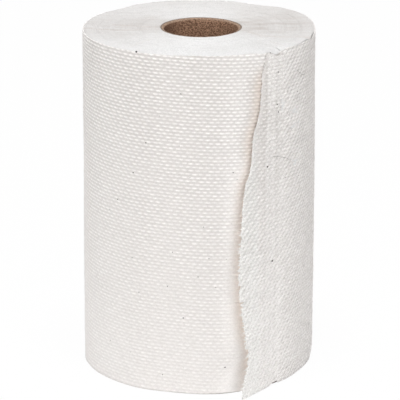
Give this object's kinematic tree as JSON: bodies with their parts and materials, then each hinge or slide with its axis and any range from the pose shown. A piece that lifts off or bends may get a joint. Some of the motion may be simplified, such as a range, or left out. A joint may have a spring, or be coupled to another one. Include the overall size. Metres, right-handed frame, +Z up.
{
  "type": "paper towel roll",
  "caption": "White embossed paper towel wound on a cardboard core, standing on its end with the torn tail of the last turn hanging loose.",
  "frame": {"origin": "where the core's axis meets the end that the roll stands on", "axes": "+Z up along the core's axis, -Y the front where the torn tail hangs, +X to the right seen from the front"},
  "size_m": [0.1349, 0.1456, 0.2],
  "materials": {
    "core_board": "unbleached kraft board, matte",
    "towel_paper": "white recycled crepe, embossed with a small pillow pattern"
  },
  "bodies": {
    "root": {"core_tube": "core_board", "towel_web": "towel_paper"}
  },
  "joints": []
}
